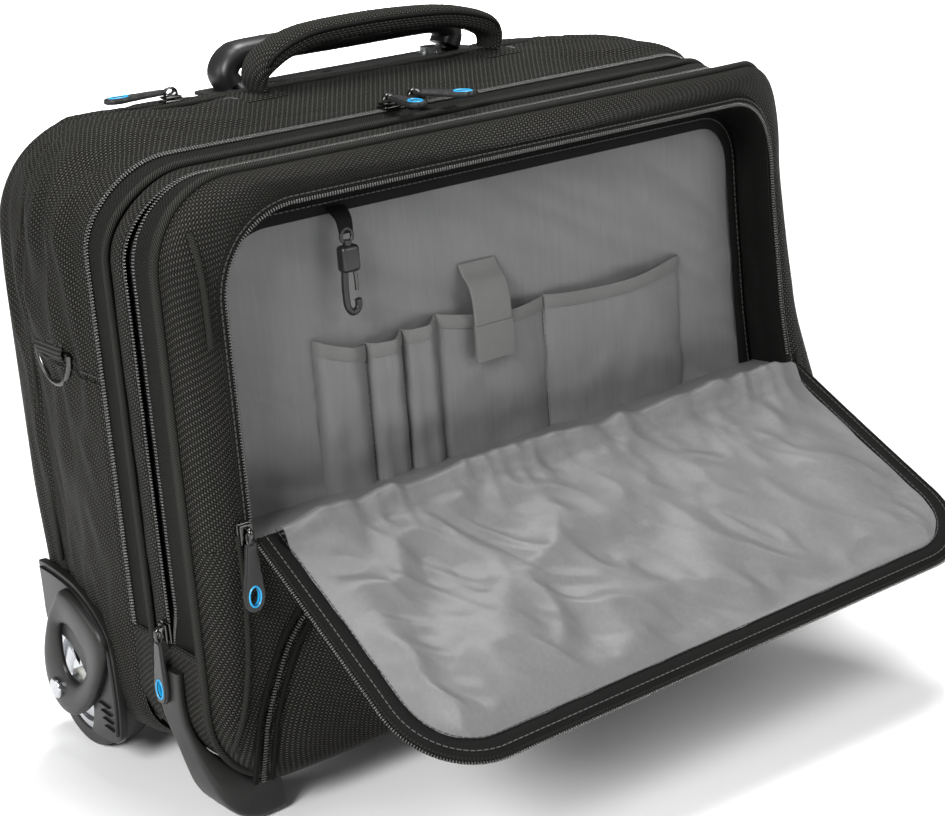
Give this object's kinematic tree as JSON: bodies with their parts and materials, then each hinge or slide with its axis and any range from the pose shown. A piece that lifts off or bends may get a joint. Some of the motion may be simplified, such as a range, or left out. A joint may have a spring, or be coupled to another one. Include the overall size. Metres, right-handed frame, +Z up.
{
  "type": "rolling laptop case",
  "caption": "Wheeled soft laptop case with zipped compartments, an open front organizer flap, a padded carry handle and a telescopic trolley handle.",
  "frame": {"origin": "centre of the overall box on the floor, with the front flap hanging open", "axes": "+X to the case's right side seen from behind the flap looking back, +Y from the front face to the back, +Z up"},
  "size_m": [0.47, 0.3492, 0.388],
  "materials": {
    "ballistic_fabric": "coarse woven",
    "lining_fabric": "satin",
    "dark_webbing": "woven tape",
    "grey_webbing": "woven tape",
    "zip_tape": "woven tape with coil teeth",
    "padding": "padded cloth",
    "board": "matte",
    "moulded_plastic": "fine satin grain",
    "grip_plastic": "satin",
    "button_plastic": "satin",
    "tube_metal": "anodised",
    "hub_chrome": "bright",
    "tyre_rubber": "matte",
    "steel": "satin",
    "bush_plastic": "natural",
    "ring_metal": "gunmetal",
    "slider_metal": "gunmetal",
    "pull_rubber": "satin with a blue ring"
  },
  "bodies": {
    "case": {"rear_shell": "ballistic_fabric", "base_shell": "ballistic_fabric", "back_panel": "ballistic_fabric", "back_board": "board", "laptop_divider": "padding", "lower_pocket_panel": "ballistic_fabric", "piping_rear": "dark_webbing", "case_zip_tapes": "zip_tape", "fold_gusset": "ballistic_fabric", "wheel_housing_left": "moulded_plastic", "wheel_housing_right": "moulded_plastic", "wheel_axles": "steel", "wheel_bushes": "bush_plastic", "axle_caps": "steel", "front_feet": "moulded_plastic", "outer_tubes": "tube_metal", "tube_foot": "moulded_plastic", "handle_collar": "moulded_plastic", "webbing_loops": "dark_webbing", "handle_rivets": "steel"},
    "main_front": {"mid_shell": "ballistic_fabric", "mid_divider": "padding", "mid_zip_tapes": "zip_tape", "piping_mid": "dark_webbing"},
    "front_section": {"front_shell": "ballistic_fabric", "front_face": "ballistic_fabric", "front_lower_panel": "ballistic_fabric", "organizer_lining": "lining_fabric", "organizer_gusset": "dark_webbing", "organizer_pockets": "lining_fabric", "front_zip_tapes": "zip_tape", "piping_front": "dark_webbing", "hook_tab": "dark_webbing"},
    "flap": {"flap_panel": "lining_fabric", "flap_zip_tape": "zip_tape"},
    "wheel_left": {"tyre_left": "tyre_rubber", "hub_left": "hub_chrome"},
    "wheel_right": {"tyre_right": "tyre_rubber", "hub_right": "hub_chrome"},
    "middle_stage": {"middle_tubes": "tube_metal"},
    "inner_stage": {"inner_tubes": "tube_metal", "grip": "grip_plastic", "button_spring": "steel"},
    "button": {"grip_button": "button_plastic"},
    "carry_handle": {"carry_handle": "ballistic_fabric"},
    "ring_left": {"d_ring_left": "ring_metal"},
    "ring_right": {"d_ring_right": "ring_metal"},
    "pocket_strap": {"pocket_strap": "grey_webbing"},
    "key_hook": {"snap_hook": "grip_plastic"},
    "gate": {"hook_gate": "grip_plastic"},
    "main_left_slider": {"main_left_slider": "slider_metal"},
    "main_left_pull": {"main_left_pull": "pull_rubber"},
    "main_right_slider": {"main_right_slider": "slider_metal"},
    "main_right_pull": {"main_right_pull": "pull_rubber"},
    "front_slider": {"front_slider": "slider_metal"},
    "front_pull": {"front_pull": "pull_rubber"},
    "flap_slider": {"flap_slider": "slider_metal"},
    "flap_pull": {"flap_pull": "pull_rubber"},
    "rear_slider": {"rear_slider": "slider_metal"},
    "rear_pull": {"rear_pull": "pull_rubber"}
  },
  "joints": [
    {"name": "main_opening", "type": "hinge", "parent": "case", "child": "main_front", "pos_m": [0, 0.0492, 0.09], "axis": [1, 0, 0], "range_deg": [0, 15], "deforming": ["fold_gusset"]},
    {"name": "front_opening", "type": "hinge", "parent": "main_front", "child": "front_section", "pos_m": [0, 0.0126, 0.092], "axis": [1, 0, 0], "range_deg": [0, 15]},
    {"name": "flap_hinge", "type": "hinge", "parent": "front_section", "child": "flap", "pos_m": [0, -0.032, 0.16], "axis": [1, 0, 0], "range_deg": [-120, 35]},
    {"name": "wheel_left_spin", "type": "hinge", "parent": "case", "child": "wheel_left", "pos_m": [-0.205, 0.1336, 0.04], "axis": [1, 0, 0], "continuous": true},
    {"name": "wheel_right_spin", "type": "hinge", "parent": "case", "child": "wheel_right", "pos_m": [0.205, 0.1336, 0.04], "axis": [1, 0, 0], "continuous": true},
    {"name": "handle_middle_slide", "type": "slide", "parent": "case", "child": "middle_stage", "axis": [0, 0, 1], "range_m": [0, 0.265]},
    {"name": "handle_inner_slide", "type": "slide", "parent": "middle_stage", "child": "inner_stage", "axis": [0, 0, 1], "range_m": [0, 0.255]},
    {"name": "button_press", "type": "slide", "parent": "inner_stage", "child": "button", "axis": [0, 0, -1], "range_m": [0, 0.0035], "stiffness_N_per_m": 400, "deforming": ["button_spring"]},
    {"name": "carry_handle_swing", "type": "hinge", "parent": "case", "child": "carry_handle", "pos_m": [0, 0.1016, 0.363], "axis": [1, 0, 0], "range_deg": [-10, 50], "stiffness_Nm_per_rad": 0.08},
    {"name": "ring_left_swing", "type": "hinge", "parent": "case", "child": "ring_left", "pos_m": [-0.2234, 0.0956, 0.243], "axis": [0, 1, 0], "range_deg": [0, 135]},
    {"name": "ring_right_swing", "type": "hinge", "parent": "case", "child": "ring_right", "pos_m": [0.2234, 0.0956, 0.243], "axis": [0, 1, 0], "range_deg": [-135, 0]},
    {"name": "pocket_strap_lift", "type": "hinge", "parent": "front_section", "child": "pocket_strap", "pos_m": [-0.018, -0.0028, 0.251], "axis": [-1, 0, 0], "range_deg": [0, 80]},
    {"name": "key_hook_swivel", "type": "hinge", "parent": "front_section", "child": "key_hook", "pos_m": [-0.107, -0.0144, 0.293], "axis": [0, 0, 1], "continuous": true},
    {"name": "hook_gate_press", "type": "hinge", "parent": "key_hook", "child": "gate", "pos_m": [-0.1003, -0.0144, 0.2617], "axis": [0, 1, 0], "range_deg": [-25, 0], "stiffness_Nm_per_rad": 0.005},
    {"name": "main_left_slide", "type": "slide", "parent": "case", "child": "main_left_slider", "axis": [1, 0, 0], "range_m": [-0.13, 0]},
    {"name": "main_right_slide", "type": "slide", "parent": "case", "child": "main_right_slider", "axis": [1, 0, 0], "range_m": [0, 0.16]},
    {"name": "front_zip_slide", "type": "slide", "parent": "main_front", "child": "front_slider", "axis": [0, 0, 1], "range_m": [0, 0.17]},
    {"name": "flap_zip_slide", "type": "slide", "parent": "front_section", "child": "flap_slider", "axis": [0, 0, 1], "range_m": [0, 0.1]},
    {"name": "rear_zip_slide", "type": "slide", "parent": "case", "child": "rear_slider", "axis": [1, 0, 0], "range_m": [-0.025, 0.24]},
    {"name": "main_left_pull_lift", "type": "hinge", "parent": "main_left_slider", "child": "main_left_pull", "pos_m": [-0.03, 0.0492, 0.3586], "axis": [0.9887, -0.15, 0], "range_deg": [-165, 0]},
    {"name": "main_right_pull_lift", "type": "hinge", "parent": "main_right_slider", "child": "main_right_pull", "pos_m": [-0.013, 0.0492, 0.3586], "axis": [0.933, 0.36, 0], "range_deg": [-165, 0]},
    {"name": "front_pull_lift", "type": "hinge", "parent": "front_slider", "child": "front_pull", "pos_m": [-0.2266, 0.0116, 0.108], "axis": [0, -0.995, -0.0995], "range_deg": [-165, 0]},
    {"name": "flap_pull_lift", "type": "hinge", "parent": "flap_slider", "child": "flap_pull", "pos_m": [-0.1955, -0.039, 0.166], "axis": [0.9988, 0, -0.0499], "range_deg": [-165, 0]},
    {"name": "rear_pull_lift", "type": "hinge", "parent": "rear_slider", "child": "rear_pull", "pos_m": [-0.122, 0.1228, 0.3606], "axis": [0, -1, 0], "range_deg": [-165, 0]}
  ]
}
